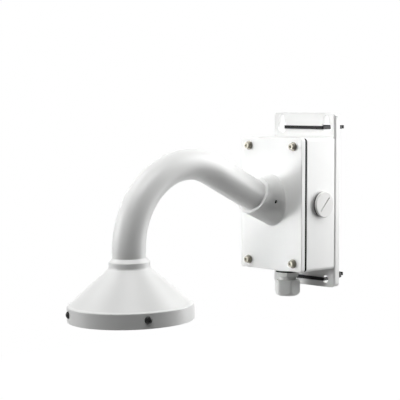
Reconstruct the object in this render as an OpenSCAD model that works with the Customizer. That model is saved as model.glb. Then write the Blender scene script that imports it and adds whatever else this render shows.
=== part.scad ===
// Arm mount for a camera: a folded steel back plate, a cast junction box with a
// gasketed cover, a bent tube clamped in the cover's socket, and a cone-shaped
// cap that takes the camera. X runs along the wall, +Y into the wall, +Z up.
// The origin is the middle of the back plate's rear face.

/* [Back plate] */
// How far the plate's flanges stand past each side of the box
plate_side = 0.75; // [0.25:0.25:12]
// Height of the plate above the box
plate_over = 33; // [28:0.5:50]
// Height of the plate below the box
plate_under = 25.5; // [20:0.5:40]
// Thickness of the sheet
sheet_t = 2; // [1.5:0.25:3]
// Depth of the flanges behind the sheet's rear face
flange_d = 7.8; // [7:0.1:12]
// Radius of the plate's corners
plate_corner_r = 6; // [3:0.5:8]
// Distance of the wall holes from the plate's sides
wall_hole_side = 15.75; // [14:0.25:18]
// Diameter of the round part of each keyhole
keyhole_d = 16; // [14:0.5:17]
// Width of the slot of each keyhole, and of the lower holes
slot_w = 10; // [7:0.5:10]
// Height of the keyholes' round part above the box
keyhole_rise = 13; // [11:0.5:14]
// Height of the slot's end above the keyhole's centre
slot_rise = 12; // [8:0.5:13]
// Depth of the lower holes below the box
low_hole_drop = 15; // [12:0.5:17]

/* [Junction box] */
// Width of the box
box_w = 112; // [106:0.5:120]
// Height of the box
box_h = 178; // [168:1:200]
// Depth of the box body
box_d = 54.5; // [50:0.5:80]
// Wall thickness of the box body
box_wall = 4; // [3:0.5:5]
// Radius of the box's corners
box_corner_r = 6; // [5:0.5:9]
// Thickness of the black gasket
gasket_t = 3.5; // [2:0.25:4]
// Width of the gasket's frame
gasket_w = 5.5; // [5:0.5:7]
// How far the gasket stays behind the box's outline
gasket_inset = 0.4; // [0:0.1:1]
// Thickness of the cover at its edge
cover_t = 7; // [6.5:0.5:10]
// Thickness of the cover's skin over its hollow back
cover_skin = 4; // [3.5:0.5:5]
// Bevel on the cover's front edge
cover_bevel = 0.8; // [0.4:0.1:1.5]
// Distance of the cover screws from the box's sides
cover_screw_side = 15; // [13:0.5:17]
// Distance of the cover screws from the box's top and bottom
cover_screw_end = 11; // [11:0.5:16]
// Distance of the screws to the plate from the box's sides
box_screw_side = 24; // [20:0.5:28]
// Distance of the screws to the plate from the box's top and bottom
box_screw_end = 31; // [27:0.5:40]

/* [Arm] */
// Outside diameter of the arm's tube
tube_d = 42.4; // [38:0.1:45]
// Wall thickness of the arm's tube
tube_wall = 2.6; // [2:0.1:4]
// Height of the arm's axis at the cover's face, above the box's middle
arm_z = -3.2; // [-8:0.1:4]
// Rise of the arm out of the box, in degrees
arm_rise = 25.5; // [20:0.5:30]
// Straight length of the arm from the cover's face to the bend
arm_run = 118.5; // [100:0.5:160]
// Radius of the bend at the tube's axis
bend_r = 102; // [90:1:130]
// Lean of the cap from plumb, in degrees
cap_lean = 2; // [0:0.5:4]
// Straight length of the tube below the bend
tube_drop = 29; // [26:0.5:60]
// How much smaller the tube's sized end is, on the radius
end_sizing = 0.3; // [0.1:0.1:0.5]

/* [Socket] */
// Thickness of the socket's lip round the tube
socket_wall = 4.5; // [3.5:0.1:6]
// Length of the socket along the arm
socket_len = 38.3; // [34:0.5:46]
// How far the socket's foot stands past the lip on each side
socket_flare = 1.8; // [1:0.1:3.5]
// How much higher than wide the socket's foot is
socket_stretch = 14.5; // [12:0.5:18]
// Height of the foot's middle above the arm's axis
socket_foot_rise = 8.6; // [7:0.1:10]
// Diameter of the grub screw that holds the tube
grub_d = 5; // [4:0.5:6]
// Distance of the grub screw from the cover's face, along the arm
grub_s = 19; // [16:0.5:22]
// How far the tube goes in behind the cover's face
tube_seat = 6; // [4:0.5:8]

/* [Camera cap] */
// Diameter of the cap's rim
cap_d = 158.5; // [140:0.5:180]
// Height of the cap's rim
cap_rim_h = 17.2; // [15:0.1:24]
// Height of the cone between collar and rim
cap_cone_h = 48.2; // [42:0.1:60]
// Thickness of the collar round the tube
collar_wall = 4.8; // [4:0.1:6.5]
// Height of the collar's upright band
collar_h = 7.6; // [6:0.1:12]
// Wall thickness of the cap
cap_wall = 4; // [3:0.25:4.5]
// How deep the tube goes into the collar
neck_seat = 24; // [20:0.5:25]
// Distance of the rim screws below the rim's top
rim_screw_drop = 6.4; // [6:0.1:9]
// Turn of the cap's first rim screw, from the front towards the right, in degrees
cap_turn = 64.3; // [0:0.1:90]

/* [Cable entries] */
// Thread diameter of the gland and of the blanking plug
entry_d = 25; // [20:0.5:25]
// Distance of the gland's axis behind the box's open edge
gland_in = 22.9; // [21:0.1:25]
// How far the plug's axis is behind the middle of the box's depth
plug_back = 2.75; // [-4:0.25:5]
// Height of the cast pad round the gland
pad_h = 3.5; // [2:0.5:5]
// How far the blanking plug's head stands past its thread
plug_lip = 4.7; // [3.5:0.1:5.5]
// Height of the blanking plug's head
plug_head_h = 3.6; // [3:0.2:5]
// Thickness of the seals under the gland and the plug
seal_t = 2; // [1.5:0.25:3]
// How far the flats of the gland's hexagon stand past its thread
gland_step = 2; // [1.5:0.25:3]
// How far the flats of the sealing nut stand past the gland's hexagon
nut_step = 1; // [0.5:0.25:1.5]
// Height of the gland's lower hexagon
gland_hex_h = 5.5; // [4.5:0.5:8]
// Height of the sealing nut
nut_h = 22; // [18:0.5:26]
// Bore for the cable in the gland's rubber
cable_d = 13; // [9:0.5:15]
// Turn of the gland's hexagon, in degrees
gland_turn = 10; // [0:1:59]
// Turn of the sealing nut, in degrees
nut_turn = 28; // [0:1:59]
// Turn of the blanking plug's slot from upright, in degrees
plug_turn = 43; // [0:1:179]

/* [Fasteners] */
// Thread diameter of the cover screws and the box screws
screw_d = 5; // [4:0.5:5.5]
// Diameter of the cover screws' heads
cover_head_d = 8.5; // [8:0.1:9.5]
// Height of the cover screws' heads
cover_head_h = 5; // [4:0.5:6]
// Diameter of the cover screws' sealing washers
cover_washer_d = 12; // [11:0.5:13]
// Thickness of the washers
washer_t = 1.4; // [1:0.2:2]
// Diameter of the rim screws' round heads
rim_head_d = 9.5; // [8.5:0.5:11]
// Thread diameter of the rim screws
rim_screw_d = 6; // [5:0.5:6]
// Width of the strap
strap_w = 4.6; // [3.6:0.2:7.6]
// Thickness of the strap
strap_t = 1.4; // [1:0.1:2]
// Diameter of the pole that the straps go round
pole_d = 60; // [50:0.5:64]

/* [Hidden] */
$fn = 72;

// Gap between a screw and its clearance hole, on the radius
hole_gap = 0.3;
// Gap between the tube and what holds it, on the radius
slip = 0.05;
// Gap that lets a boolean cut pass through a face
cut = 1;
// Bevel on the edges of screw heads, plugs and rims
edge = 0.6;

// Planes from the wall outwards
plate_front = -sheet_t;
body_front = plate_front - box_d;
gasket_front = body_front - gasket_t;
cover_front = gasket_front - cover_t;
plate_top = box_h / 2 + plate_over;
plate_bottom = -box_h / 2 - plate_under;
plate_h = plate_top - plate_bottom;
plate_mid_z = (plate_top + plate_bottom) / 2;
plate_w = box_w + 2 * plate_side;
wall_hole_pitch = plate_w - 2 * wall_hole_side;
keyhole_z = box_h / 2 + keyhole_rise;
low_hole_z = -box_h / 2 - low_hole_drop;
fold_r = sheet_t + 1;

// Screws of the cover, and those that hold the box to the plate
cover_screw_px = box_w - 2 * cover_screw_side;
cover_screw_pz = box_h - 2 * cover_screw_end;
box_screw_px = box_w - 2 * box_screw_side;
box_screw_pz = box_h - 2 * box_screw_end;
box_head_d = 1.9 * screw_d;
box_head_h = 0.65 * screw_d;
box_nut_af = 1.6 * screw_d;
box_nut_h = 0.8 * screw_d;
boss_wall = 4;
boss_r = screw_d / 2 + boss_wall;
thread_len = 18;
tip_gap = 3;
drive_slot = 1.2;

// Earth screw on a boss of the rear wall
earth_x = -24;
earth_z = -36;
earth_boss_h = 8;
earth_boss_r = screw_d / 2 + 3;
earth_washer_r = screw_d;

// The arm's line: a straight run, a bend, a short straight end
tube_r = tube_d / 2;
bend_total = 90 + arm_rise + cap_lean;
run_y = cover_front - arm_run * cos(arm_rise);
run_z = arm_z + arm_run * sin(arm_rise);
bend_y = run_y - bend_r * sin(arm_rise);
bend_z = run_z - bend_r * cos(arm_rise);
end_y = bend_y - bend_r * cos(cap_lean);
end_z = bend_z - bend_r * sin(cap_lean);

// The cap hangs on the tube's lower end; its stations run down its own axis
seat_r = tube_r - end_sizing + slip;
collar_d = tube_d + 2 * collar_wall;
collar_chamfer = collar_d / 2 - seat_r;
collar_top = tube_drop - neck_seat;
band_top = collar_top + collar_chamfer;
cone_top = band_top + collar_h;
rim_top = cone_top + cap_cone_h;
rim_bottom = rim_top + cap_rim_h;
cap_r = cap_d / 2;
collar_r = collar_d / 2;
cone_slope = (cap_r - collar_r) / cap_cone_h;
cone_off = cap_wall * sqrt(1 + cone_slope * cone_slope);
shoulder = 1;
neck_lip = 2.5;
hub_wall = 4;
lip_r = tube_r - tube_wall;
rim_screw_t = rim_top + rim_screw_drop;
rim_head_h = 3.2;

// Cable entries
entry_r = entry_d / 2;
gland_hex = entry_d + 2 * gland_step;
nut_hex = gland_hex + 2 * nut_step;
plug_head_d = entry_d + 2 * plug_lip;
pad_step = 1;
pad_r = hex_r(gland_hex) + pad_step;
gland_y = body_front + gland_in;
plug_y = plate_front - box_d / 2 + plug_back;
gland_face = -box_h / 2 - pad_h;
hex_top = gland_face - seal_t;
hex_low = hex_top - gland_hex_h;
neck_len = 5.2;
nut_top = hex_low - neck_len;
nut_round = 5;
collet_len = 12;
thread_wall = 3.2;
gland_bore_r = entry_r - thread_wall;
locknut_h = 5;
locknut_step = 3.5;
locknut_af = entry_d + 2 * locknut_step;
thread_end = 1;

// The socket cast on the cover, and the grub screw in its side
socket_lip_d = tube_d + 2 * socket_wall;
socket_foot_w = socket_lip_d + 2 * socket_flare;
socket_foot_h = socket_foot_w + socket_stretch;
lip_len = 4;
grub_len = 3.5;

// The straps' corners stand just inside the wall holes
strap_gap = 0.3;

function hex_r(across) = across / 2 / cos(30);

// Where a strap's outer face passes through a wall hole of this width
function strap_x(hole) = (wall_hole_pitch - hole) / 2 + strap_t + strap_gap;

// A frame whose +Z points out of the wall, with x and z of the part as x and y
module from_wall(y) {
    translate([0, y, 0]) rotate([90, 0, 0]) children();
}

module rounded_rect(w, h, r) {
    union() {
        square([w - 2 * r, h], center = true);
        square([w, h - 2 * r], center = true);
        for (x = [-1, 1], y = [-1, 1])
            translate([x * (w / 2 - r), y * (h / 2 - r)]) circle(r);
    }
}

// The four corners of a rectangle of screws
module at_corners(px, pz) {
    for (x = [-1, 1], z = [-1, 1])
        translate([x * px / 2, z * pz / 2]) children();
}

module ring(r_out, r_in, h) {
    difference() {
        cylinder(h = h, r = r_out);
        translate([0, 0, -cut]) cylinder(h = h + 2 * cut, r = r_in);
    }
}

module hex_prism(across, h) {
    cylinder(h = h, r = hex_r(across), $fn = 6);
}

// Plan of the folded sheet: a flat middle, two quarter bends and two flanges
module plate_section() {
    half = plate_w / 2;
    translate([-half + fold_r, -sheet_t]) square([plate_w - 2 * fold_r, sheet_t]);
    for (side = [-1, 1]) {
        translate([side * (half - sheet_t / 2) - sheet_t / 2, fold_r - sheet_t])
            square([sheet_t, flange_d + sheet_t - fold_r]);
        translate([side * (half - fold_r), fold_r - sheet_t]) intersection() {
            difference() {
                circle(fold_r);
                circle(fold_r - sheet_t);
            }
            translate([side > 0 ? 0 : -fold_r, -fold_r]) square(fold_r);
        }
    }
}

module keyhole() {
    circle(d = keyhole_d);
    translate([-slot_w / 2, 0]) square([slot_w, slot_rise]);
    translate([0, slot_rise]) circle(d = slot_w);
}

// Folded sheet steel: rounded front corners, flanges with rounded rear corners
module back_plate() color("white") {
    depth = sheet_t + flange_d;
    difference() {
        intersection() {
            translate([0, 0, plate_bottom]) linear_extrude(plate_h) plate_section();
            translate([0, 0, plate_mid_z]) from_wall(flange_d)
                linear_extrude(depth) rounded_rect(plate_w, plate_h, plate_corner_r);
            flange_outline(depth);
        }
        from_wall(cut) linear_extrude(sheet_t + 2 * cut) {
            for (x = [-1, 1]) {
                translate([x * wall_hole_pitch / 2, keyhole_z]) keyhole();
                translate([x * wall_hole_pitch / 2, low_hole_z]) circle(d = slot_w);
            }
            at_corners(box_screw_px, box_screw_pz) circle(screw_d / 2 + hole_gap);
        }
    }
}

// Side view of the plate: square at the front, rounded at the wall
module flange_outline(depth) {
    r = min(plate_corner_r, flange_d);
    translate([-plate_w / 2, 0, 0]) rotate([90, 0, 90]) linear_extrude(plate_w) {
        translate([-sheet_t, plate_bottom]) square([depth - r, plate_h]);
        translate([-sheet_t, plate_bottom + r]) square([depth, plate_h - 2 * r]);
        for (z = [plate_bottom + r, plate_top - r])
            translate([flange_d - r, z]) circle(r);
    }
}

// Cast box: four screw bosses, a drilled rear wall, two threaded entries
module box_body() color("white") {
    inner_w = box_w - 2 * box_wall;
    inner_h = box_h - 2 * box_wall;
    difference() {
        union() {
            from_wall(plate_front) difference() {
                linear_extrude(box_d) rounded_rect(box_w, box_h, box_corner_r);
                translate([0, 0, box_wall]) linear_extrude(box_d)
                    rounded_rect(inner_w, inner_h, box_corner_r - box_wall / 2);
            }
            from_wall(plate_front - box_wall / 2) screw_bosses();
            from_wall(plate_front - box_wall) translate([earth_x, earth_z])
                cylinder(h = earth_boss_h, r = earth_boss_r);
            translate([0, gland_y, gland_face]) cylinder(h = pad_h + box_wall / 2, r = pad_r);
        }
        from_wall(body_front + thread_len) at_corners(cover_screw_px, cover_screw_pz)
            cylinder(h = thread_len + cut, r = screw_d / 2);
        from_wall(plate_front + cut) at_corners(box_screw_px, box_screw_pz)
            cylinder(h = box_wall + 2 * cut, r = screw_d / 2 + hole_gap);
        from_wall(plate_front - box_wall / 2) translate([earth_x, earth_z])
            cylinder(h = box_wall / 2 + earth_boss_h + cut, r = screw_d / 2);
        translate([0, gland_y, gland_face - cut]) cylinder(h = pad_h + box_wall + 2 * cut, r = entry_r);
        translate([box_w / 2 - box_wall - cut, plug_y, 0]) rotate([0, 90, 0])
            cylinder(h = box_wall + 2 * cut, r = entry_r);
    }
}

// Each boss is a pillar joined to the box's nearest two walls by webs
module screw_bosses() {
    h = box_d - box_wall / 2;
    for (x = [-1, 1], z = [-1, 1]) {
        gap_x = (box_w - cover_screw_px) / 2 - box_wall / 2;
        gap_z = (box_h - cover_screw_pz) / 2 - box_wall / 2;
        translate([x * cover_screw_px / 2, z * cover_screw_pz / 2]) {
            cylinder(h = h, r = boss_r);
            translate([x > 0 ? 0 : -gap_x, -box_wall / 2, 0]) cube([gap_x, box_wall, h]);
            translate([-box_wall / 2, z > 0 ? 0 : -gap_z, 0]) cube([box_wall, gap_z, h]);
        }
    }
}

// Rubber frame with an eye round each cover screw
module box_gasket() color("black") {
    outer_w = box_w - 2 * gasket_inset;
    outer_h = box_h - 2 * gasket_inset;
    from_wall(body_front) linear_extrude(gasket_t) difference() {
        rounded_rect(outer_w, outer_h, box_corner_r - gasket_inset / 2);
        difference() {
            rounded_rect(outer_w - 2 * gasket_w, outer_h - 2 * gasket_w, box_corner_r / 2);
            at_corners(cover_screw_px, cover_screw_pz) circle(boss_r);
            at_corners(cover_screw_px + 2 * boss_r, cover_screw_pz) square(2 * boss_r, center = true);
            at_corners(cover_screw_px, cover_screw_pz + 2 * boss_r) square(2 * boss_r, center = true);
        }
        at_corners(cover_screw_px, cover_screw_pz) circle(screw_d / 2 + hole_gap);
    }
}

// Frame of the arm at its axis on the cover's face, with +Z out along the arm
module along_arm() {
    translate([0, cover_front, arm_z]) rotate([90 - arm_rise, 0, 0]) children();
}

// Cast cover with a hollow back, and the socket that holds the tube
module box_cover() color("white") {
    foot_t = 0.5;
    lip_bevel = 1;
    skirt = 2 * box_wall;
    difference() {
        union() {
            hull() {
                from_wall(gasket_front) linear_extrude(cover_t - cover_bevel)
                    rounded_rect(box_w, box_h, box_corner_r);
                from_wall(gasket_front) linear_extrude(cover_t)
                    rounded_rect(box_w - 2 * cover_bevel, box_h - 2 * cover_bevel,
                        box_corner_r - cover_bevel);
            }
            hull() {
                from_wall(cover_front + foot_t) translate([0, arm_z + socket_foot_rise, 0])
                    linear_extrude(2 * foot_t) scale([1, socket_foot_h / socket_foot_w])
                        circle(d = socket_foot_w);
                along_arm() translate([0, 0, socket_len - lip_len])
                    cylinder(h = lip_len - lip_bevel, d = socket_lip_d);
                along_arm() translate([0, 0, socket_len - lip_len])
                    cylinder(h = lip_len, d = socket_lip_d - 2 * lip_bevel);
            }
        }
        difference() {
            from_wall(gasket_front + cut) linear_extrude(cover_t - cover_skin + cut) difference() {
                rounded_rect(box_w - 2 * skirt, box_h - 2 * skirt, box_corner_r / 2);
                at_corners(cover_screw_px, cover_screw_pz) circle(boss_r);
                at_corners(cover_screw_px + boss_r, cover_screw_pz) square(2 * boss_r, center = true);
                at_corners(cover_screw_px, cover_screw_pz + boss_r) square(2 * boss_r, center = true);
            }
            from_wall(gasket_front + 2 * cut) translate([0, arm_z + socket_foot_rise, 0])
                cylinder(h = cover_t + 2 * cut, d = socket_foot_h);
        }
        from_wall(gasket_front + cut) at_corners(cover_screw_px, cover_screw_pz)
            cylinder(h = cover_t + 2 * cut, r = screw_d / 2 + hole_gap);
        along_arm() translate([0, 0, -tube_seat - slip])
            cylinder(h = socket_len + tube_seat + cut, r = tube_r + slip);
        along_arm() translate([0, 0, -2 * socket_len]) cylinder(h = 2 * socket_len, r = lip_r);
        at_grub(0) cylinder(h = socket_foot_w, r = grub_d / 2);
    }
}

// The grub screw's line, +Z pointing out of the socket's right side
module at_grub(out) {
    along_arm() translate([out, 0, grub_s]) rotate([0, 90, 0]) children();
}

module socket_screw() color("dimgray") {
    at_grub(tube_r) difference() {
        cylinder(h = grub_len, r = grub_d / 2);
        translate([0, 0, grub_len / 2]) hex_prism(grub_d / 2, grub_len);
    }
}

// A washer and a cap screw on each corner of the cover
module cover_washers() color("silver") {
    from_wall(cover_front) at_corners(cover_screw_px, cover_screw_pz)
        ring(cover_washer_d / 2, screw_d / 2 + hole_gap, washer_t);
}

module cover_screws() color("silver") {
    shank = washer_t + cover_t + gasket_t + thread_len - tip_gap;
    from_wall(cover_front - washer_t) at_corners(cover_screw_px, cover_screw_pz) difference() {
        union() {
            translate([0, 0, -shank]) cylinder(h = shank + cut, r = screw_d / 2);
            cylinder(h = cover_head_h - edge, d = cover_head_d);
            translate([0, 0, cover_head_h - edge])
                cylinder(h = edge, d1 = cover_head_d, d2 = cover_head_d - 2 * edge);
        }
        translate([0, 0, cover_head_h / 2]) hex_prism(0.8 * screw_d, cover_head_h);
    }
}

// Pan-head screws from inside the box, washers under them, nuts behind the plate
module box_washers() color("silver") {
    from_wall(plate_front - box_wall) at_corners(box_screw_px, box_screw_pz)
        ring(box_head_d / 2 + 0.5, screw_d / 2 + hole_gap, washer_t);
}

module box_screws() color("silver") {
    shank = washer_t + box_wall + sheet_t + box_nut_h + thread_end;
    from_wall(plate_front - box_wall - washer_t) at_corners(box_screw_px, box_screw_pz) difference() {
        union() {
            translate([0, 0, -shank]) cylinder(h = shank + cut, r = screw_d / 2);
            cylinder(h = box_head_h, d1 = box_head_d, d2 = 0.8 * box_head_d);
        }
        for (turn = [0, 90]) rotate(turn) translate([0, 0, box_head_h])
            cube([0.6 * box_head_d, drive_slot, box_head_h], center = true);
    }
}

module box_nuts() color("silver") {
    from_wall(box_nut_h) at_corners(box_screw_px, box_screw_pz) difference() {
        hex_prism(box_nut_af, box_nut_h);
        translate([0, 0, -cut]) cylinder(h = box_nut_h + 2 * cut, r = screw_d / 2);
    }
}

module earth_washer() color("gold") {
    from_wall(plate_front - box_wall - earth_boss_h) translate([earth_x, earth_z])
        ring(earth_washer_r, screw_d / 2 + hole_gap, washer_t);
}

module earth_screw() color("gold") {
    shank = washer_t + earth_boss_h;
    from_wall(plate_front - box_wall - earth_boss_h - washer_t) translate([earth_x, earth_z]) difference() {
        union() {
            translate([0, 0, -shank]) cylinder(h = shank + cut, r = screw_d / 2);
            cylinder(h = box_head_h, d = box_head_d);
        }
        translate([-box_head_d, -drive_slot / 2, box_head_h / 2])
            cube([2 * box_head_d, drive_slot, box_head_h]);
    }
}

// The arm's line as one solid: a straight run, a bend and a sized straight end.
// It lies in its own plane, with the bend's middle at the origin.
module arm_line(r, over) {
    end_overlap = 2;
    translate([bend_r, 0, 0]) rotate([90, 0, 0]) cylinder(h = arm_run + tube_seat + over, r = r);
    rotate_extrude(angle = bend_total) translate([bend_r, 0]) circle(r);
    rotate(bend_total) translate([bend_r, -end_overlap, 0]) rotate([-90, 0, 0])
        cylinder(h = tube_drop + end_overlap + over, r = r - end_sizing);
}

// Bent tube; its lower end is sized to fit the cap's collar
module arm_tube() color("white") {
    translate([0, bend_y, bend_z]) rotate([90, 0, 90]) rotate(90 - arm_rise) difference() {
        arm_line(tube_r, 0);
        arm_line(lip_r, cut);
    }
}

// Frame at the bend's lower end, with +Z down along the cap's axis
module cap_frame() {
    translate([0, end_y, end_z]) rotate([180 + cap_lean, 0, 0]) children();
}

// Rubber bush in the tube's inner end, so that the cable doesn't chafe
module tube_grommet() color("black") {
    thick = 2;
    depth = 8;
    along_arm() translate([0, 0, -tube_seat]) ring(lip_r - slip, lip_r - thick, depth);
}

// Turned casting: chamfered collar, cone, shoulder and upright rim, open below
module camera_cap() color("white") {
    inner_r = cap_r - cap_wall;
    hub_r = tube_r + hub_wall;
    cone_in = cone_top + (hub_r + cone_off - collar_r) / cone_slope;
    neck_end = max(tube_drop + neck_lip, cone_in + neck_lip);
    rim_in = cone_top + (inner_r + cone_off - collar_r) / cone_slope;
    difference() {
        cap_frame() rotate_extrude() {
            polygon([
                [lip_r, tube_drop], [seat_r, tube_drop], [seat_r, collar_top],
                [collar_r, band_top], [collar_r, cone_top],
                [cap_r - shoulder, rim_top - shoulder / cone_slope],
                [cap_r, rim_top + shoulder / 2], [cap_r, rim_bottom - edge],
                [cap_r - edge, rim_bottom],
                [inner_r, rim_bottom], [inner_r, rim_in], [hub_r, cone_in],
                [hub_r, neck_end], [lip_r, neck_end]
            ]);
        }
        at_rim_screws() translate([0, 0, -cap_r]) cylinder(h = cap_r + cut, r = rim_screw_d / 2);
    }
}

// Four places round the rim, +Z pointing outwards
module at_rim_screws() {
    cap_frame() translate([0, 0, rim_screw_t])
        for (i = [0:3]) rotate(90 * i - cap_turn) translate([0, cap_r, 0])
            rotate([-90, 0, 0]) children();
}

// Round-headed screws, run in until they end flush with the rim's inner face
module rim_screws() color("dimgray") {
    crown = rim_head_h - edge;
    dome_r = (rim_head_d * rim_head_d / 4 + crown * crown) / (2 * crown);
    at_rim_screws() difference() {
        union() {
            translate([0, 0, -cap_wall]) cylinder(h = cap_wall + edge, r = rim_screw_d / 2);
            intersection() {
                cylinder(h = rim_head_h, d = rim_head_d);
                translate([0, 0, rim_head_h - dome_r]) sphere(r = dome_r);
            }
        }
        translate([0, 0, rim_head_h / 3]) hex_prism(0.6 * rim_screw_d, rim_head_h);
    }
}

// Cable gland under the box, from its flat seal down to the sealing nut
module at_gland(z) {
    translate([0, gland_y, z]) children();
}

module gland_seal() color("black") {
    at_gland(hex_top) ring(hex_r(gland_hex) - edge, entry_r, seal_t);
}

module gland_body() color("gray") {
    thread_up = seal_t + pad_h + box_wall + locknut_h + thread_end;
    bore_len = thread_up + gland_hex_h + neck_len + collet_len + 2 * cut;
    difference() {
        union() {
            at_gland(hex_low) rotate(gland_turn) hex_prism(gland_hex, gland_hex_h);
            at_gland(hex_top) cylinder(h = thread_up, r = entry_r);
            at_gland(nut_top - collet_len) cylinder(h = neck_len + collet_len + cut, r = entry_r);
        }
        at_gland(nut_top - collet_len - cut) cylinder(h = bore_len, r = gland_bore_r);
    }
}

module gland_rubber() color("black") {
    at_gland(nut_top - collet_len) ring(gland_bore_r, cable_d / 2, collet_len + neck_len);
}

// Sealing nut: a hexagon that rounds over at its lower end
module gland_nut() color("gray") {
    floor_t = 3;
    turned_r = hex_r(nut_hex) - edge;
    at_gland(nut_top - nut_h) difference() {
        intersection() {
            rotate(nut_turn) hex_prism(nut_hex, nut_h);
            rotate_extrude() union() {
                translate([0, nut_round]) square([turned_r, nut_h - nut_round]);
                square([turned_r - nut_round, nut_round]);
                translate([turned_r - nut_round, nut_round]) circle(nut_round);
            }
        }
        translate([0, 0, floor_t]) cylinder(h = nut_h, r = entry_r);
        translate([0, 0, -cut]) cylinder(h = nut_h, r = gland_bore_r - 1);
    }
}

module gland_locknut() color("gray") {
    at_gland(-box_h / 2 + box_wall) locknut();
}

module locknut() {
    difference() {
        hex_prism(locknut_af, locknut_h);
        translate([0, 0, -cut]) cylinder(h = locknut_h + 2 * cut, r = entry_r);
    }
}

// Blanking plug on the right wall, +Z pointing out of the box
module at_plug(x) {
    translate([x, plug_y, 0]) rotate([0, 90, 0]) children();
}

module plug_seal() color("black") {
    at_plug(box_w / 2) ring(plug_head_d / 2 - edge, entry_r, seal_t);
}

module blanking_plug() color("white") {
    shank = seal_t + box_wall + locknut_h + thread_end;
    slot = [0.72 * plug_head_d, 1.4, plug_head_h];
    at_plug(box_w / 2 + seal_t) difference() {
        union() {
            translate([0, 0, -shank]) cylinder(h = shank + cut, r = entry_r);
            cylinder(h = plug_head_h - edge, d = plug_head_d);
            translate([0, 0, plug_head_h - edge])
                cylinder(h = edge, d1 = plug_head_d, d2 = plug_head_d - 2 * edge);
        }
        translate([0, 0, -shank - cut]) cylinder(h = shank, r = gland_bore_r);
        rotate(-plug_turn) translate([-slot[0] / 2, -slot[1] / 2, plug_head_h - slot[1]]) cube(slot);
    }
}

module plug_locknut() color("gray") {
    at_plug(box_w / 2 - box_wall - locknut_h) locknut();
}

// Strap in plan: straight across the sheet, then tangent to the pole behind it.
// x is where it passes through the plate.
module strap_outline(x, grow) {
    pole_r = pole_d / 2;
    rise = pole_r + sheet_t;
    reach = sqrt(x * x + rise * rise);
    turn = 180 - atan2(rise, x) - asin(pole_r / reach);
    run = sqrt(reach * reach - pole_r * pole_r);
    // On the right side the strap leaves the corner at this angle
    heading = atan2(rise, -x) - asin(pole_r / reach);
    touch = [x + run * cos(heading), -sheet_t + run * sin(heading)];
    out = [sin(heading), -cos(heading)] * grow;
    translate([0, pole_r]) circle(pole_r + grow);
    polygon([
        [-x, -sheet_t - grow], [x, -sheet_t - grow], [x, -sheet_t] + out, touch + out,
        [-touch[0] - out[0], touch[1] + out[1]], [-x - out[0], -sheet_t + out[1]]
    ]);
    if (grow > 0) for (side = [-1, 1]) translate([side * x, -sheet_t]) circle(grow);
}

// The strap's loop, with its ratchet head and cut-off tail behind the pole
module strap(x, z) {
    head = [8, 6, strap_w + 2.4];
    tail = 14;
    back_y = pole_d + strap_t / 2;
    translate([0, 0, z - strap_w / 2]) difference() {
        union() {
            linear_extrude(strap_w) strap_outline(x, strap_t);
            translate([-head[0] / 2, back_y, (strap_w - head[2]) / 2]) cube(head);
            translate([0, back_y + head[1] / 2, 0]) cube([tail, strap_t, strap_w]);
        }
        translate([0, 0, -head[2]]) linear_extrude(3 * head[2]) strap_outline(x, 0);
    }
}

module upper_strap() color("black") strap(strap_x(keyhole_d), keyhole_z);
module lower_strap() color("black") strap(strap_x(slot_w), low_hole_z);

back_plate();
box_body();
box_gasket();
box_cover();
cover_washers();
cover_screws();
box_washers();
box_screws();
box_nuts();
earth_screw();
earth_washer();
arm_tube();
socket_screw();
tube_grommet();
camera_cap();
rim_screws();
gland_seal();
gland_body();
gland_rubber();
gland_nut();
gland_locknut();
plug_seal();
blanking_plug();
plug_locknut();
upper_strap();
lower_strap();
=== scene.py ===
"""Camera wall mount: junction box on a folded plate, bent tube arm, cone cap, gland, plug and straps."""
import math

import bmesh
import bpy
from mathutils import Matrix, Vector


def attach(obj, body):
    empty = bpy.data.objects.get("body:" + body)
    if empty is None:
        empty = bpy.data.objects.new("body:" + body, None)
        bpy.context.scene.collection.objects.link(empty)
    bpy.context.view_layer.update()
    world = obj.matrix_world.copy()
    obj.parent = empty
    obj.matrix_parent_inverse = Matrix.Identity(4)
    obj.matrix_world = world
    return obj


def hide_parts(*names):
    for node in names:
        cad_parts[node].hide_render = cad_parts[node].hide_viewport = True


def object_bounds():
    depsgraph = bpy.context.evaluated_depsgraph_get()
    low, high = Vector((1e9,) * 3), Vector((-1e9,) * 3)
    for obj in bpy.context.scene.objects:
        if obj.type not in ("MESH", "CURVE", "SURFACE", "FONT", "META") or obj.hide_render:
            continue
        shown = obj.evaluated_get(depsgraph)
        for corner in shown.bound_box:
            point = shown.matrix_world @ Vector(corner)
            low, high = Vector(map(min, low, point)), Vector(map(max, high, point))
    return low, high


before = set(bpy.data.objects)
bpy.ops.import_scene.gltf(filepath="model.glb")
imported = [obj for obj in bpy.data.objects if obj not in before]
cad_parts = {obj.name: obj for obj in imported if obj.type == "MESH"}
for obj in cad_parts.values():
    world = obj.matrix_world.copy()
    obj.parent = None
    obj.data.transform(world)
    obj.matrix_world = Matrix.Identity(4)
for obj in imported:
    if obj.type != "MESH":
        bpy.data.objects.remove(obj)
cad_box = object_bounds()
MM = 0.001
WELD = 0.002 * MM

# The studio: a white surround and nine lamps, eight of them broad and soft, one a narrow beam on the cover.
# Their powers were fitted to the tones of the photo, so they match it from this one view only.
# The floor lies a mount's usual height below, so that only a faint shadow reaches it.
scene = bpy.context.scene
scene.view_settings.view_transform = "Standard"
PHOTO_W = 400
FOCAL_PX = 1513.4
SENSOR = 36
CAMERA_AZIMUTH, CAMERA_ELEVATION = math.radians(46.42), math.radians(3.94)
CAMERA_DISTANCE = 2247.9 * MM
CAMERA_TARGET = Vector((-217.2, 7.8, -9.3)) * MM


def direction(azimuth, elevation):
    return Vector((math.sin(azimuth) * math.cos(elevation),
                   -math.cos(azimuth) * math.cos(elevation), math.sin(elevation)))


def face_to(thing, place, target):
    thing.location = place
    thing.rotation_euler = (target - place).to_track_quat("-Z", "Y").to_euler()


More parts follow.
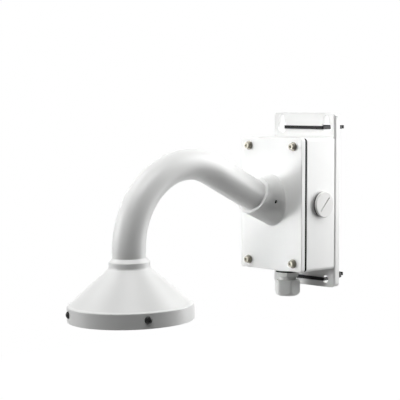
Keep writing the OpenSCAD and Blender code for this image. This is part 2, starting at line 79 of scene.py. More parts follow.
camera = bpy.data.objects.new("camera", bpy.data.cameras.new("camera"))
scene.collection.objects.link(camera)
scene.camera = camera
camera.data.sensor_fit = "HORIZONTAL"
camera.data.sensor_width = SENSOR
camera.data.lens = FOCAL_PX / PHOTO_W * SENSOR
camera.data.clip_end = 50
face_to(camera, CAMERA_TARGET + CAMERA_DISTANCE * direction(CAMERA_AZIMUTH, CAMERA_ELEVATION), CAMERA_TARGET)

MOUNT_MIDDLE = Vector((0, -180, 0)) * MM
COVER_MIDDLE = Vector((10, -67, -25)) * MM
BROAD, NARROW = 180, 18
# Each lamp: azimuth and elevation in degrees, distance and size in metres, watts, spread and target
LAMPS = {
    "left_lamp": (-50, 10, 1.7, 1.0, 8.9, BROAD, MOUNT_MIDDLE),
    "low_left_lamp": (-50, -20, 1.7, 1.0, 1.8, BROAD, MOUNT_MIDDLE),
    "high_left_lamp": (-55, 45, 0.8, 0.5, 1.3, BROAD, MOUNT_MIDDLE),
    "cover_lamp": (-35, 5, 0.9, 0.25, 0.06, NARROW, COVER_MIDDLE),
    "front_lamp": (5, 58, 1.7, 0.6, 5.6, BROAD, MOUNT_MIDDLE),
    "high_front_lamp": (45, 68, 1.7, 1.0, 11.5, BROAD, MOUNT_MIDDLE),
    "right_lamp": (155, 5, 0.9, 0.8, 3.9, BROAD, MOUNT_MIDDLE),
    "near_right_lamp": (150, 10, 0.8, 0.5, 1.65, BROAD, MOUNT_MIDDLE),
    "high_right_lamp": (150, 40, 0.8, 0.5, 2.9, BROAD, MOUNT_MIDDLE),
}
for name, (azimuth, elevation, distance, size, power, spread, target) in LAMPS.items():
    lamp = bpy.data.objects.new(name, bpy.data.lights.new(name, "AREA"))
    scene.collection.objects.link(lamp)
    lamp.data.shape = "DISK"
    lamp.data.size = size
    lamp.data.energy = power
    lamp.data.spread = math.radians(spread)
    way = direction(math.radians(azimuth), math.radians(elevation))
    face_to(lamp, target + distance * way, target)

AMBIENT = 0.0
WHITE = (1, 1, 1, 1)


def seen_directly(nodes, links):
    """1 for camera, glossy and transmission rays, 0 for the rays that light the object."""
    path = nodes.new("ShaderNodeLightPath")
    first, both = nodes.new("ShaderNodeMath"), nodes.new("ShaderNodeMath")
    first.operation = both.operation = "MAXIMUM"
    links.new(path.outputs["Is Camera Ray"], first.inputs[0])
    links.new(path.outputs["Is Glossy Ray"], first.inputs[1])
    links.new(first.outputs[0], both.inputs[0])
    links.new(path.outputs["Is Transmission Ray"], both.inputs[1])
    return both.outputs[0]


world = bpy.data.worlds.new("studio")
scene.world = world
world.use_nodes = True
nodes, links = world.node_tree.nodes, world.node_tree.links
nodes.clear()
dim, bright = nodes.new("ShaderNodeBackground"), nodes.new("ShaderNodeBackground")
dim.inputs["Color"].default_value = bright.inputs["Color"].default_value = WHITE
dim.inputs["Strength"].default_value = AMBIENT
mix, out = nodes.new("ShaderNodeMixShader"), nodes.new("ShaderNodeOutputWorld")
links.new(seen_directly(nodes, links), mix.inputs["Fac"])
links.new(dim.outputs[0], mix.inputs[1])
links.new(bright.outputs[0], mix.inputs[2])
links.new(mix.outputs[0], out.inputs["Surface"])

FLOOR_DROP = 1.3
FLOOR_SIZE = 12
FLOOR_GREY, FLOOR_ROUGHNESS = (0.9, 0.9, 0.9, 1), 0.9
floor_mesh = bpy.data.meshes.new("floor")
bm = bmesh.new()
bmesh.ops.create_grid(bm, x_segments=1, y_segments=1, size=FLOOR_SIZE / 2)
bmesh.ops.translate(bm, verts=bm.verts, vec=(0, 0, cad_box[0].z - FLOOR_DROP))
bm.to_mesh(floor_mesh)
bm.free()
floor = bpy.data.objects.new("floor", floor_mesh)
scene.collection.objects.link(floor)
floor_paint = bpy.data.materials.new("floor_paint")
floor_paint.use_nodes = True
nodes, links = floor_paint.node_tree.nodes, floor_paint.node_tree.links
surface = nodes["Principled BSDF"]
surface.inputs["Base Color"].default_value = FLOOR_GREY
surface.inputs["Roughness"].default_value = FLOOR_ROUGHNESS
surface.inputs["Specular IOR Level"].default_value = 0
surface.inputs["Emission Color"].default_value = WHITE
links.new(seen_directly(nodes, links), surface.inputs["Emission Strength"])
floor_mesh.materials.append(floor_paint)

# The junction box: a deep tray of cast aluminium, blasted and powder-coated white after machining.
# Its coat has the fine orange peel of a sprayed powder, a little glossier than satin.
# It is screwed to the folded plate behind it, whose coat is glossier and is painted a little greyer, as
# painted shade on the plate.
COAT_WHITE = (0.86, 0.865, 0.855)
# The plate's white is the cast white darkened, as painted shade that lets the plate's edges show.
SHEET_WHITE_SHADED = (0.8, 0.805, 0.795)
COAT_ROUGHNESS = 0.37
SHEET_ROUGHNESS, TUBE_ROUGHNESS = COAT_ROUGHNESS - 0.04, COAT_ROUGHNESS + 0.03
COAT_CLOUDING = 0.025
CLOUDS_PER_METRE, PEEL_PER_METRE, GRAIN_PER_METRE = 14, 420, 1900
GRAIN_IN_GLOSS, GRAIN_IN_HEIGHT = 0.05, 0.15
PEEL_BUMP, PEEL_DEPTH = 0.25, 0.06 * MM
CLEAR_WEIGHT, CLEAR_ROUGHNESS = 0.2, 0.24
NOISE_LOW, NOISE_HIGH = 0.3, 0.7


def new_skin(name):
    """An empty skin group, its two ends and its coordinates; a material gives its own values."""
    group = bpy.data.node_groups.new(name, "ShaderNodeTree")
    for label, kind in (("Colour", "NodeSocketColor"), ("Roughness", "NodeSocketFloat"),
                        ("Clouding", "NodeSocketFloat")):
        group.interface.new_socket(label, in_out="INPUT", socket_type=kind)
    for label, kind in (("Colour", "NodeSocketColor"), ("Roughness", "NodeSocketFloat"),
                        ("Height", "NodeSocketFloat")):
        group.interface.new_socket(label, in_out="OUTPUT", socket_type=kind)
    start, end = group.nodes.new("NodeGroupInput"), group.nodes.new("NodeGroupOutput")
    return group, start, end, group.nodes.new("ShaderNodeTexCoord").outputs["Object"]


def noise(group, coordinates, scale, detail=2.0):
    texture = group.nodes.new("ShaderNodeTexNoise")
    texture.inputs["Scale"].default_value = scale
    texture.inputs["Detail"].default_value = detail
    group.links.new(coordinates, texture.inputs["Vector"])
    return texture.outputs["Fac"]


def remap(group, value, low, high):
    """The usual span of a noise's values, taken to low and high."""
    node = group.nodes.new("ShaderNodeMapRange")
    node.inputs["From Min"].default_value = NOISE_LOW
    node.inputs["From Max"].default_value = NOISE_HIGH
    for socket, bound in (("To Min", low), ("To Max", high)):
        if hasattr(bound, "node"):
            group.links.new(bound, node.inputs[socket])
        else:
            node.inputs[socket].default_value = bound
    group.links.new(value, node.inputs["Value"])
    return node.outputs["Result"]


def arithmetic(group, kind, a, b):
    node = group.nodes.new("ShaderNodeMath")
    node.operation = kind
    for socket, value in zip(node.inputs, (a, b)):
        if hasattr(value, "node"):
            group.links.new(value, socket)
        else:
            socket.default_value = value
    return node.outputs[0]


def shaded_colour(group, colour, factor):
    node = group.nodes.new("ShaderNodeMix")
    node.data_type = "RGBA"
    node.blend_type = "MULTIPLY"
    node.inputs["Factor"].default_value = 1
    group.links.new(colour, node.inputs["A"])
    group.links.new(factor, node.inputs["B"])
    return node.outputs["Result"]


def cloud_colour(group, start, end, clouds):
    """Lets the clouds darken a skin's colour, by as much as its clouding says."""
    darkest = arithmetic(group, "SUBTRACT", 1, start.outputs["Clouding"])
    tone = remap(group, clouds, darkest, 1)
    group.links.new(shaded_colour(group, start.outputs["Colour"], tone), end.inputs["Colour"])


def vary_gloss(group, start, end, pattern, by):
    """Lets the pattern raise and lower a skin's roughness by a small value."""
    change = remap(group, pattern, -by, by)
    group.links.new(arithmetic(group, "ADD", start.outputs["Roughness"], change), end.inputs["Roughness"])


# Sprayed powder: broad soft clouds of tone, orange peel, and a fine grain in the gloss
powder_skin, start, end, place = new_skin("powder_skin")
peel = noise(powder_skin, place, PEEL_PER_METRE)
grain = noise(powder_skin, place, GRAIN_PER_METRE)
cloud_colour(powder_skin, start, end, noise(powder_skin, place, CLOUDS_PER_METRE, 3))
vary_gloss(powder_skin, start, end, grain, GRAIN_IN_GLOSS)
fine_relief = arithmetic(powder_skin, "MULTIPLY", grain, GRAIN_IN_HEIGHT)
powder_skin.links.new(arithmetic(powder_skin, "ADD", peel, fine_relief), end.inputs["Height"])


def plain_material(name):
    material = bpy.data.materials.new(name)
    material.use_nodes = True
    tree = material.node_tree
    return material, tree, tree.nodes["Principled BSDF"]


def add_skin(tree, surface, group, colour, roughness, clouding, bump, depth):
    """Places a skin group in a material and joins its colour, gloss and height to the surface."""
    skin = tree.nodes.new("ShaderNodeGroup")
    skin.node_tree = group
    skin.inputs["Colour"].default_value = (*colour, 1)
    skin.inputs["Roughness"].default_value = roughness
    skin.inputs["Clouding"].default_value = clouding
    relief = tree.nodes.new("ShaderNodeBump")
    relief.inputs["Strength"].default_value = bump
    relief.inputs["Distance"].default_value = depth
    tree.links.new(skin.outputs["Colour"], surface.inputs["Base Color"])
    tree.links.new(skin.outputs["Roughness"], surface.inputs["Roughness"])
    tree.links.new(skin.outputs["Height"], relief.inputs["Height"])
    tree.links.new(relief.outputs["Normal"], surface.inputs["Normal"])


def powder_coat(name, colour, roughness):
    material, tree, surface = plain_material(name)
    add_skin(tree, surface, powder_skin, colour, roughness, COAT_CLOUDING, PEEL_BUMP, PEEL_DEPTH)
    surface.inputs["Coat Weight"].default_value = CLEAR_WEIGHT
    surface.inputs["Coat Roughness"].default_value = CLEAR_ROUGHNESS
    return material


cast_coat = powder_coat("cast_coat", COAT_WHITE, COAT_ROUGHNESS)
shaded_sheet_coat = powder_coat("shaded_sheet_coat", SHEET_WHITE_SHADED, SHEET_ROUGHNESS)
SMOOTH_ANGLE = math.radians(32)
FLAT_ANGLE, SHARP_ANGLE = math.radians(0.5), math.radians(40)
EASE_SEGMENTS = 2
NEAR_CORNER = 0.7


def add_piece(name, bm, material, replaced):
    """Makes a finished mesh a piece of the mount, in the place of the CAD nodes that it stands for."""
    mesh = bpy.data.meshes.new(name)
    bm.to_mesh(mesh)
    bm.free()
    mesh.shade_smooth()
    mesh.set_sharp_from_angle(angle=SMOOTH_ANGLE)
    piece = bpy.data.objects.new(name, mesh)
    scene.collection.objects.link(piece)
    mesh.materials.append(material)
    weighted = piece.modifiers.new("flat_faces_stay_flat", "WEIGHTED_NORMAL")
    weighted.keep_sharp = True
    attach(piece, "root")
    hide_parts(*replaced)


def eased(node, width):
    """A CAD node's own form as a welded mesh, with its edges eased by a small round."""
    bm = bmesh.new()
    bm.from_mesh(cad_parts[node].data)
    bmesh.ops.remove_doubles(bm, verts=bm.verts, dist=WELD)
    bmesh.ops.dissolve_limit(bm, angle_limit=FLAT_ANGLE, verts=bm.verts, edges=bm.edges)
    sharp = [e for e in bm.edges if e.is_manifold and e.calc_face_angle(0) > SHARP_ANGLE]
    bmesh.ops.bevel(bm, geom=sharp, offset=width, offset_type="OFFSET", segments=EASE_SEGMENTS,
                    profile=0.5, affect="EDGES", clamp_overlap=True, material=-1)
    return bm


def tightened(bm, half_w, half_h, drawn, wanted):
    """Changes the rounded corners of a box's outline from the drawn radius to a smaller one."""
    offset = drawn - wanted
    for v in bm.verts:
        u, w = abs(v.co.x) - (half_w - drawn), abs(v.co.z) - (half_h - drawn)
        if u <= 0 or w <= 0 or math.hypot(u, w) < NEAR_CORNER * drawn:
            continue
        a = math.atan2(w, u)
        along = offset * (math.cos(a) + math.sin(a))
        reach = along + math.sqrt(along * along - 2 * offset * offset + wanted * wanted)
        if reach * math.sin(a) < offset:
            reach = drawn / math.cos(a)
        elif reach * math.cos(a) < offset:
            reach = drawn / math.sin(a)
        v.co.x += math.copysign(u * (reach / drawn - 1), v.co.x)
        v.co.z += math.copysign(w * (reach / drawn - 1), v.co.z)
    return bm


BODY_EASE = 0.4 * MM
BOX_W, BOX_H = 112 * MM, 178 * MM
CORNER_DRAWN, BOX_CORNER = 6 * MM, 4 * MM
body = tightened(eased("box_body", BODY_EASE), BOX_W / 2, BOX_H / 2, CORNER_DRAWN, BOX_CORNER)
add_piece("box_body_coated", body, cast_coat, ["box_body"])

# The back plate: folded sheet steel with two side flanges, keyholes above and round holes below.
# Punched and folded first, then coated white, so that its edges are a little softened by the coat.
# Four screws through the box's rear wall hold the two together.
PLATE_EASE = 0.3 * MM
# The plate's greyer white is painted shade, not a different coat.
add_piece("back_plate_coated", eased("back_plate", PLATE_EASE), shaded_sheet_coat, ["back_plate"])

# The arm: one aluminium tube, drawn round a former, so that it is slightly flattened in its bend.
# Its upper end stands in the cover's socket; its lower end is sized down a little to enter the cap.
# It is blasted and coated white like the box.
COVER_FRONT = -67 * MM
ARM_Z = -3.2 * MM
ARM_RISE = math.radians(25.5)
CAP_LEAN = math.radians(2)
TUBE_R, TUBE_WALL = 21.2 * MM, 2.6 * MM
TUBE_SEAT, ARM_RUN, TUBE_DROP = 6 * MM, 118.5 * MM, 29 * MM
BEND_R = 102 * MM
BEND_ANGLE = math.radians(90) + ARM_RISE + CAP_LEAN
BEND_STEPS = 64
TUBE_SEGMENTS = 96
END_SIZING, SIZING_LENGTH = 0.3 * MM, 1.5 * MM
FLATTENING, WIDENING = 0.075, 0.02
FLATTENING_RAMP = math.radians(22)
ACROSS = Vector((1, 0, 0))
ARM_OUT = Vector((0, -math.cos(ARM_RISE), math.sin(ARM_RISE)))
ARM_UP = Vector((0, math.sin(ARM_RISE), math.cos(ARM_RISE)))
ARM_ROOT = Vector((0, COVER_FRONT, ARM_Z))
BEND_CENTRE = ARM_ROOT + ARM_RUN * ARM_OUT - BEND_R * ARM_UP
CAP_FRONT = Vector((0, -math.cos(CAP_LEAN), -math.sin(CAP_LEAN)))
CAP_DOWN = Vector((0, math.sin(CAP_LEAN), -math.cos(CAP_LEAN)))
BEND_END = BEND_CENTRE + BEND_R * CAP_FRONT


def placed(origin, x, y, z):
    """The matrix of a frame with these axes at this origin."""
    matrix = Matrix((x, y, z)).transposed().to_4x4()
    matrix.translation = origin
    return matrix


def loop_verts(edges):
    return list({v for e in edges for v in e.verts})


def drawn_out(bm, edges, way):
    """Extrudes edge loops by a vector and returns the new loops' edges."""
    new = bmesh.ops.extrude_edge_only(bm, edges=edges)["geom"]
    verts = [g for g in new if isinstance(g, bmesh.types.BMVert)]
    bmesh.ops.translate(bm, verts=verts, vec=way)
    known = set(verts)
    return [g for g in new if isinstance(g, bmesh.types.BMEdge) and known.issuperset(g.verts)]


bm = bmesh.new()
for radius in (TUBE_R, TUBE_R - TUBE_WALL):
    bmesh.ops.create_circle(bm, segments=TUBE_SEGMENTS, radius=radius,
                            matrix=placed(ARM_ROOT - TUBE_SEAT * ARM_OUT, ACROSS, ARM_UP, ARM_OUT))
upper_end = list(bm.edges)
edges = drawn_out(bm, upper_end, (TUBE_SEAT + ARM_RUN) * ARM_OUT)
last = bmesh.ops.spin(bm, geom=loop_verts(edges) + edges, cent=BEND_CENTRE, axis=ACROSS, angle=BEND_ANGLE,
                      steps=BEND_STEPS)["geom_last"]
edges = [g for g in last if isinstance(g, bmesh.types.BMEdge)]
edges = drawn_out(bm, edges, SIZING_LENGTH * CAP_DOWN)
bmesh.ops.scale(bm, verts=loop_verts(edges), vec=[1 - END_SIZING / TUBE_R] * 3,
                space=Matrix.Translation(-BEND_END - SIZING_LENGTH * CAP_DOWN))
edges = drawn_out(bm, edges, (TUBE_DROP - SIZING_LENGTH) * CAP_DOWN)
# Known fault: both bridges join the walls crosswise, which closes the bore and turns the inner wall round
bmesh.ops.bridge_loops(bm, edges=upper_end)
bmesh.ops.bridge_loops(bm, edges=edges)
for v in bm.verts:
    away = v.co - BEND_CENTRE
    turned_by = math.atan2(away.z, away.y) - (math.pi / 2 - ARM_RISE)
    ramp = min(max(min(turned_by, BEND_ANGLE - turned_by) / FLATTENING_RAMP, 0), 1)
    ramp *= ramp * (3 - 2 * ramp)
    reach = math.hypot(away.y, away.z)
    wanted = BEND_R + (reach - BEND_R) * (1 - FLATTENING * ramp)
    wider = away.x * (1 + WIDENING * ramp)
    v.co = BEND_CENTRE + Vector((wider, away.y * wanted / reach, away.z * wanted / reach))
bmesh.ops.recalc_face_normals(bm, faces=bm.faces)
tube_coat = powder_coat("tube_coat", COAT_WHITE, TUBE_ROUGHNESS)
add_piece("arm_tube_coated", bm, tube_coat, ["arm_tube"])

# The camera cap: a turned aluminium casting, with a chamfered collar, a cone, a shoulder and an upright rim.
# It is open below for the camera; the tube's sized end sits on a lip inside the collar.
# Its corners are rounded by the casting and the coat, and the cone runs into the collar in a fillet.
CAP_TURNS = 160
LIP_R, SEAT_R, COLLAR_R, HUB_R = 18.6, 20.95, 26, 25.2
CAP_R, RIM_IN_R = 79.25, 75.25
COLLAR_TOP, BAND_TOP, CONE_TOP = 6.3, 11.3, 18.6
SHOULDER_R, SHOULDER_TOP, RIM_TOP = 76, 62.9, 63.6
RIM_BOTTOM, RIM_IN, CONE_IN, NECK_END = 83.05, 67.62, 22.2, 31.5
# Each rounded corner: its place in the profile, the width of the round in mm and its segments
CAP_ROUNDS = [(2, 0.3, 2), (3, 0.5, 3), (4, 1.6, 5), (5, 1.2, 4), (6, 1.4, 5), (7, 0.35, 3), (8, 0.5, 3),
              (9, 2.5, 4), (10, 1.5, 3), (11, 0.5, 2)]
ON_RING = 0.01 * MM


def turned(profile, turns, rounds):
    """A closed profile of radius and height in mm, turned about Z, with the rings of some corners rounded."""
    bm = bmesh.new()
    verts = [bm.verts.new((r * MM, 0, z * MM)) for r, z in profile]
    edges = [bm.edges.new(pair) for pair in zip(verts, verts[1:] + verts[:1])]
    bmesh.ops.spin(bm, geom=verts + edges, cent=(0, 0, 0), axis=(0, 0, 1), angle=2 * math.pi, steps=turns,
                   use_merge=True)
    bmesh.ops.remove_doubles(bm, verts=bm.verts, dist=WELD)
    for corner, width, segments in rounds:
        r, z = profile[corner]

        def at_corner(v):
            return abs(math.hypot(v.co.x, v.co.y) - r * MM) < ON_RING and abs(v.co.z - z * MM) < ON_RING
        ring = [e for e in bm.edges if all(at_corner(v) for v in e.verts)]
        bmesh.ops.bevel(bm, geom=ring, offset=width * MM, offset_type="OFFSET", segments=segments,
                        profile=0.5, affect="EDGES", clamp_overlap=False, material=-1)
    bmesh.ops.recalc_face_normals(bm, faces=bm.faces)
    return bm


cap_profile = [
    (LIP_R, TUBE_DROP / MM), (SEAT_R, TUBE_DROP / MM), (SEAT_R, COLLAR_TOP), (COLLAR_R, BAND_TOP),
    (COLLAR_R, CONE_TOP), (SHOULDER_R, SHOULDER_TOP), (CAP_R, RIM_TOP), (CAP_R, RIM_BOTTOM),
    (RIM_IN_R, RIM_BOTTOM), (RIM_IN_R, RIM_IN), (HUB_R, CONE_IN), (HUB_R, NECK_END), (LIP_R, NECK_END)]
bm = turned(cap_profile, CAP_TURNS, CAP_ROUNDS)
bmesh.ops.transform(bm, verts=bm.verts, matrix=placed(BEND_END, ACROSS, CAP_FRONT, CAP_DOWN))
add_piece("camera_cap_coated", bm, cast_coat, ["camera_cap"])

# The box cover: a flat casting with a rounded edge, and on it the slanted socket that grips the arm.
# The socket swells from a round lip into an upright oval foot, with a small fillet where it meets the cover.
# Four holes take its screws and the bore goes right through; its back is drawn full, not hollow as cast.
COVER_BACK = -60 * MM
COVER_ROUND, BACK_CHAMFER = 0.9 * MM, 0.3 * MM
CORNER_STEPS = 10
HOLE_SEGMENTS = 24
SAME_PLACE = 0.001 * MM
SCREW_X, SCREW_Z, SCREW_HOLE_R = 41 * MM, 78 * MM, 2.8 * MM
FOOT_RX, FOOT_RZ, FOOT_Z = 27.5 * MM, 34.75 * MM, 5.4 * MM
FOOT_FILLET = 1.3 * MM
LIP_OUTER_R, BORE_R = 25.7 * MM, 21.25 * MM
SOCKET_LEN, LIP_LEN, LIP_ROUND = 38.3 * MM, 4 * MM, 0.5 * MM
SOCKET_SEGMENTS = 96
ROUND_STEPS = 5
WALL_ROWS = 20
GRUB_HOLE_R, GRUB_S, GRUB_SUNK = 2.5 * MM, 19 * MM, 3.5 * MM
GRUB_CELLS = 4
SOCKET_SIDE = 26 * MM


def rounded_outline(w, h, r, y):
    """A rounded rectangle's points at one depth; smaller ones with a smaller radius match point by point."""
    points = []
    for i, (sx, sz) in enumerate(((1, 1), (-1, 1), (-1, -1), (1, -1))):
        for step in range(CORNER_STEPS + 1):
            a = math.pi / 2 * (i + step / CORNER_STEPS)
            points.append(Vector((sx * (w / 2 - r) + r * math.cos(a), y, sz * (h / 2 - r) + r * math.sin(a))))
    return points


def skinned(bm, rings, left_open=()):
    """Quads from ring to ring; returns the edges of the first and the last ring."""
    rings = [[bm.verts.new(p) for p in ring] for ring in rings]
    for row, (a, b) in enumerate(zip(rings, rings[1:])):
        for i in range(len(a)):
            j = (i + 1) % len(a)
            if (row, i) not in left_open:
                bm.faces.new((a[i], a[j], b[j], b[i]))
    return tuple([bm.edges.get((ring[i], ring[i - 1])) for i in range(len(ring))]
                 for ring in (rings[0], rings[-1]))


def circle_points(count, centre, x, y, rx, ry):
    return [centre + rx * math.cos(2 * math.pi * i / count) * x + ry * math.sin(2 * math.pi * i / count) * y
            for i in range(count)]


def eased_steps(start, corner, end):
    """Points of a soft round from start to end, drawn towards their common corner."""
    return [(1 - t) ** 2 * start + 2 * t * (1 - t) * corner + t ** 2 * end
            for t in (i / ROUND_STEPS for i in range(ROUND_STEPS + 1))]


UP = Vector((0, 0, 1))
foot_centre = Vector((0, COVER_FRONT, FOOT_Z))
socket_end = ARM_ROOT + SOCKET_LEN * ARM_OUT
foot = circle_points(SOCKET_SEGMENTS, foot_centre, ACROSS, UP, FOOT_RX, FOOT_RZ)
lip_start = circle_points(SOCKET_SEGMENTS, ARM_ROOT + (SOCKET_LEN - LIP_LEN) * ARM_OUT, ACROSS, ARM_UP,
                          LIP_OUTER_R, LIP_OUTER_R)
lip_edge = circle_points(SOCKET_SEGMENTS, socket_end, ACROSS, ARM_UP, LIP_OUTER_R, LIP_OUTER_R)
bore_mouth = circle_points(SOCKET_SEGMENTS, socket_end, ACROSS, ARM_UP, BORE_R, BORE_R)
bore_back = [p - ARM_OUT * ((p.y - COVER_BACK) / ARM_OUT.y) for p in bore_mouth]
columns = []
for at_foot, at_lip, at_edge, at_mouth, at_back in zip(foot, lip_start, lip_edge, bore_mouth, bore_back):
    away = at_foot - foot_centre
    outward = Vector((away.x / FOOT_RX ** 2, 0, away.z / FOOT_RZ ** 2)).normalized()
    wall = (at_lip - at_foot).normalized()
    inward = (at_mouth - at_edge).normalized()
    columns.append(
        eased_steps(at_foot + FOOT_FILLET * outward, at_foot, at_foot + FOOT_FILLET * wall)
        + [(at_foot + FOOT_FILLET * wall).lerp(at_lip, row / WALL_ROWS) for row in range(1, WALL_ROWS + 1)]
        + eased_steps(at_edge - LIP_ROUND * ARM_OUT, at_edge, at_edge + LIP_ROUND * inward)
        + [at_mouth, at_back])
# The grub screw's hole: a block of cells left out of the skin, with its outline drawn into a circle.
# It has no floor, so the mesh stays open there, under the grub screw.
rings = [list(ring) for ring in zip(*columns)]
grub_line = ARM_ROOT + GRUB_S * ARM_OUT


def from_grub_line(p):
    return Vector((0, p.y - grub_line.y, p.z - grub_line.z))


def from_grub_hole(cell):
    """How far the middle of the block that starts at this cell lies from the hole's place on the wall."""
    row, i = cell
    middle = rings[row + GRUB_CELLS // 2][(i + GRUB_CELLS // 2) % SOCKET_SEGMENTS]
    return (middle - grub_line - SOCKET_SIDE * ACROSS).length


cells = [(row, i) for row in range(ROUND_STEPS, ROUND_STEPS + WALL_ROWS - GRUB_CELLS)
         for i in range(SOCKET_SEGMENTS)]
low_row, low_i = min(cells, key=from_grub_hole)
block = [(low_row + a, (low_i + b) % SOCKET_SEGMENTS) for a in range(GRUB_CELLS) for b in range(GRUB_CELLS)]
rim_places = []
for a in range(GRUB_CELLS + 1):
    for b in range(GRUB_CELLS + 1):
        p = rings[low_row + a][(low_i + b) % SOCKET_SEGMENTS]
        if a in (0, GRUB_CELLS) or b in (0, GRUB_CELLS):
            away = from_grub_line(p)
            p += away.normalized() * GRUB_HOLE_R - away
            rim_places.append(p.copy())
bm = bmesh.new()
front_loops, back_loops = skinned(bm, rings, block)
on_rim = {v for v in bm.verts if any((v.co - p).length < SAME_PLACE for p in rim_places)}
hole_edges = [e for e in bm.edges if e.is_boundary and e.verts[0] in on_rim and e.verts[1] in on_rim]
drawn_out(bm, hole_edges, -GRUB_SUNK * ACROSS)
side = [rounded_outline(BOX_W - 2 * d, BOX_H - 2 * d, BOX_CORNER - d, y) for d, y in (
    [(COVER_ROUND * (1 - math.sin(a)), COVER_FRONT + COVER_ROUND * (1 - math.cos(a)))
     for a in (math.pi / 2 * i / ROUND_STEPS for i in range(ROUND_STEPS + 1))]
    + [(0, COVER_BACK - BACK_CHAMFER), (BACK_CHAMFER, COVER_BACK)])]
first, last = skinned(bm, side)
front_loops += first
back_loops += last
for sx in (-1, 1):
    for sz in (-1, 1):
        rings = [circle_points(HOLE_SEGMENTS, Vector((sx * SCREW_X, y, sz * SCREW_Z)), ACROSS, UP,
                               SCREW_HOLE_R, SCREW_HOLE_R) for y in (COVER_FRONT, COVER_BACK)]
        first, last = skinned(bm, rings)
        front_loops += first
        back_loops += last
bmesh.ops.triangle_fill(bm, edges=front_loops, use_beauty=True, normal=(0, -1, 0))
bmesh.ops.triangle_fill(bm, edges=back_loops, use_beauty=True, normal=(0, 1, 0))
bmesh.ops.recalc_face_normals(bm, faces=bm.faces)
add_piece("box_cover_coated", bm, cast_coat, ["box_cover"])

# The rubber parts: the cover's gasket, the seals of gland and plug, the gland's grip and the tube's bush.
# All are black, matt and finely grained; the gasket shows as a dark line round the box.
RUBBER_BLACK, RUBBER_ROUGHNESS = (0.005, 0.005, 0.0055), 0.8
GASKET_EASE, RUBBER_EASE = 0.3 * MM, 0.4 * MM
FLOW_PER_METRE, SPARK_PER_METRE = 60, 3200
FLOW_IN_GLOSS, SPARK_DEPTH = 0.03, 0.02 * MM
moulded_skin, start, end, place = new_skin("moulded_skin")
flow = noise(moulded_skin, place, FLOW_PER_METRE, 2)
cloud_colour(moulded_skin, start, end, flow)
vary_gloss(moulded_skin, start, end, flow, FLOW_IN_GLOSS)
moulded_skin.links.new(noise(moulded_skin, place, SPARK_PER_METRE, 1), end.inputs["Height"])


def moulded(name, colour, roughness, bump=0.2, clouding=0.04, shine=0.5):
    material, tree, surface = plain_material(name)
    surface.inputs["Specular IOR Level"].default_value = shine
    add_skin(tree, surface, moulded_skin, colour, roughness, clouding, bump, SPARK_DEPTH)
    return material


rubber = moulded("rubber", RUBBER_BLACK, RUBBER_ROUGHNESS, bump=0.3, clouding=0.2, shine=0.0)
GASKET_INSET = 0.4 * MM
gasket = tightened(eased("box_gasket", GASKET_EASE), BOX_W / 2 - GASKET_INSET, BOX_H / 2 - GASKET_INSET,
                   CORNER_DRAWN - GASKET_INSET / 2, BOX_CORNER - GASKET_INSET / 2)
add_piece("box_gasket_moulded", gasket, rubber, ["box_gasket"])
for node in ("gland_seal", "plug_seal", "gland_rubber", "tube_grommet"):
    add_piece(node + "_moulded", eased(node, RUBBER_EASE), rubber, [node])

# The cable gland under the box: a body with a hexagon and thread grooves on its neck, and a sealing nut.
# Both are moulded in light grey nylon with soft edges, and their hexagons stand at different turns; their
# grey is painted paler still, as painted light.
# Two locknuts of the same nylon hold the gland and the blanking plug from inside.
# The nylon's grey is painted paler than its own, as painted light that makes up for too little lamp light on
# the gland.
NYLON_GREY_LIGHTENED, NYLON_ROUGHNESS = (0.87, 0.88, 0.86), 0.34
LOCKNUT_EASE, GLAND_EASE = 0.3 * MM, 0.4 * MM
grey_nylon = moulded("grey_nylon", NYLON_GREY_LIGHTENED, NYLON_ROUGHNESS)
for node in ("gland_locknut", "plug_locknut"):
    add_piece(node + "_moulded", eased(node, LOCKNUT_EASE), grey_nylon, [node])
GLAND_Y, NUT_BOTTOM = -33.6 * MM, -127.2 * MM
NECK_LOW, THREAD_R = -105.2 * MM, 12.5 * MM
THREAD_PITCH, THREAD_DEPTH, THREAD_TURNS = 1.7 * MM, 1.3 * MM, 3
THREAD_START = 0.1
ON_NECK, ON_CUT = 0.1 * MM, 0.01 * MM
bm = eased("gland_body", GLAND_EASE)
# Every second cut is the bottom of a groove
cuts = [NECK_LOW + THREAD_PITCH / 2 * (i + THREAD_START) for i in range(2 * THREAD_TURNS + 1)]
for height in cuts:
    bmesh.ops.bisect_plane(bm, geom=bm.verts[:] + bm.edges[:] + bm.faces[:], plane_co=(0, 0, height),
                           plane_no=(0, 0, 1))
for v in bm.verts:
    reach = math.hypot(v.co.x, v.co.y - GLAND_Y)
    if abs(reach - THREAD_R) < ON_NECK and any(abs(v.co.z - height) < ON_CUT for height in cuts[1::2]):
        v.co.x *= 1 - THREAD_DEPTH / reach
        v.co.y = GLAND_Y + (v.co.y - GLAND_Y) * (1 - THREAD_DEPTH / reach)
add_piece("gland_body_moulded", bm, grey_nylon, ["gland_body"])
NUT_FLATS, NUT_TURNED_R, NUT_TURN = 31, 17.3, math.radians(-1)
NUT_H, NUT_DOME, NUT_FLOOR = 22, 7.5, 3
NUT_BORE_R, NUT_HOLE_R = 12.5, 8.3
NUT_CHAMFER_R, NUT_CHAMFER_SLOPE = 15.2, 1.9
NUT_SEGMENTS = 192
NUT_HEIGHTS = [NUT_H, 21.7, 21.4, 21.1, 20.8, 20, 16, 12, 9] + [
    NUT_DOME * (1 - math.sin(math.radians(a))) for a in range(0, 91, 6)]


def nut_radius(a, height):
    """A hexagon turned round at its corners, domed below and chamfered above."""
    side = (a - NUT_TURN + math.pi / 6) % (math.pi / 3) - math.pi / 6
    dip = max(NUT_DOME - height, 0)
    dome = NUT_TURNED_R - NUT_DOME + math.sqrt(NUT_DOME ** 2 - dip ** 2)
    return min(NUT_FLATS / 2 / math.cos(side), dome, NUT_CHAMFER_R + NUT_CHAMFER_SLOPE * (NUT_H - height))


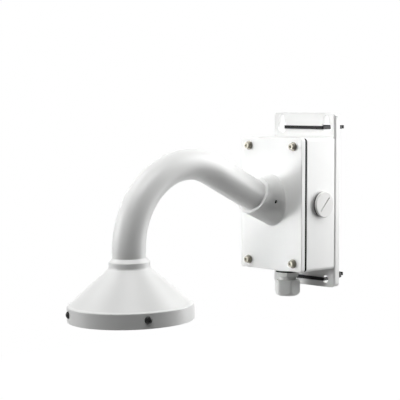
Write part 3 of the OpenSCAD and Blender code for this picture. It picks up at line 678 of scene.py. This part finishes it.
def nut_ring(height, radius=None):
    return [Vector(((radius or nut_radius(a, height)) * MM * math.cos(a),
                    GLAND_Y + (radius or nut_radius(a, height)) * MM * math.sin(a), NUT_BOTTOM + height * MM))
            for a in (2 * math.pi * i / NUT_SEGMENTS for i in range(NUT_SEGMENTS))]


bm = bmesh.new()
skinned(bm, [nut_ring(NUT_H, NUT_BORE_R)] + [nut_ring(h) for h in NUT_HEIGHTS] + [
    nut_ring(0, NUT_HOLE_R), nut_ring(NUT_FLOOR, NUT_HOLE_R), nut_ring(NUT_FLOOR, NUT_BORE_R),
    nut_ring(NUT_H, NUT_BORE_R)])
bmesh.ops.remove_doubles(bm, verts=bm.verts, dist=SAME_PLACE)
bmesh.ops.recalc_face_normals(bm, faces=bm.faces)
add_piece("gland_nut_moulded", bm, grey_nylon, ["gland_nut"])

# The blanking plug in the right wall: a round white head with a slot for a coin or a driver.
# It is moulded in nylon and screwed into the box on its own seal.
NYLON_WHITE, PLUG_ROUGHNESS, PLUG_EASE = (0.8, 0.8, 0.785), 0.38, 0.35 * MM
white_nylon = moulded("white_nylon", NYLON_WHITE, PLUG_ROUGHNESS)
add_piece("blanking_plug_moulded", eased("blanking_plug", PLUG_EASE), white_nylon,
          ["blanking_plug"])

# The straps: two black nylon ties that go through the plate's wall holes and round the pole.
# Each is smooth and fairly matt outside, with its head and cut-off tail behind the pole.
STRAP_BLACK, STRAP_ROUGHNESS, STRAP_EASE = (0.006, 0.006, 0.0065), 0.42, 0.35 * MM
strap_nylon = moulded("strap_nylon", STRAP_BLACK, STRAP_ROUGHNESS, bump=0.15, clouding=0.1, shine=0.12)
for node in ("upper_strap", "lower_strap"):
    add_piece(node + "_moulded", eased(node, STRAP_EASE), strap_nylon, [node])

# The metal fasteners: stainless cap screws on washers in the cover, black round heads in the cap's rim,
# a black grub screw in the socket, zinc-plated screws, washers and nuts between box and plate, and
# the brass earth screw inside. All are turned or cold-formed, with fine tool marks.
STAINLESS, WASHER_STEEL, BLACK_STEEL = (0.33, 0.315, 0.27), (0.2, 0.19, 0.165), (0.004, 0.004, 0.0045)
ZINC, BRASS = (0.62, 0.63, 0.64), (0.72, 0.53, 0.24)
STAIN_PER_METRE, MARKS_PER_METRE = 240, 5200
METAL_CLOUDING, STAIN_IN_GLOSS, MARK_BUMP, MARK_DEPTH = 0.15, 0.06, 0.2, 0.01 * MM
metal_skin, start, end, place = new_skin("metal_skin")
stain = noise(metal_skin, place, STAIN_PER_METRE, 3)
cloud_colour(metal_skin, start, end, stain)
vary_gloss(metal_skin, start, end, stain, STAIN_IN_GLOSS)
metal_skin.links.new(noise(metal_skin, place, MARKS_PER_METRE, 1), end.inputs["Height"])


def metal(name, colour, roughness, metallic=1.0, shine=0.5):
    material, tree, surface = plain_material(name)
    surface.inputs["Metallic"].default_value = metallic
    surface.inputs["Specular IOR Level"].default_value = shine
    add_skin(tree, surface, metal_skin, colour, roughness, METAL_CLOUDING, MARK_BUMP, MARK_DEPTH)
    return material


stainless = metal("stainless", STAINLESS, 0.4)
washer_steel = metal("washer_steel", WASHER_STEEL, 0.34)
black_steel = metal("black_steel", BLACK_STEEL, 0.12, metallic=0.0, shine=0.2)
zinc = metal("zinc", ZINC, 0.32)
brass = metal("brass", BRASS, 0.28)
# Each fastener: its node, how far its edges are eased in mm, its material and its slot
for node, ease, material, slot in (
        ("cover_screws", 0.3, stainless, "screw_steel"), ("cover_washers", 0.3, washer_steel, "screw_steel"),
        ("rim_screws", 0.2, black_steel, "dark_screw"), ("socket_screw", 0.2, black_steel, "dark_screw"),
        ("box_screws", 0.25, zinc, "zinc_steel"), ("box_washers", 0.2, zinc, "zinc_steel"),
        ("box_nuts", 0.3, zinc, "zinc_steel"), ("earth_screw", 0.25, brass, "earth_brass"),
        ("earth_washer", 0.2, brass, "earth_brass")):
    add_piece(node + "_finished", eased(node, ease * MM), material, [node])
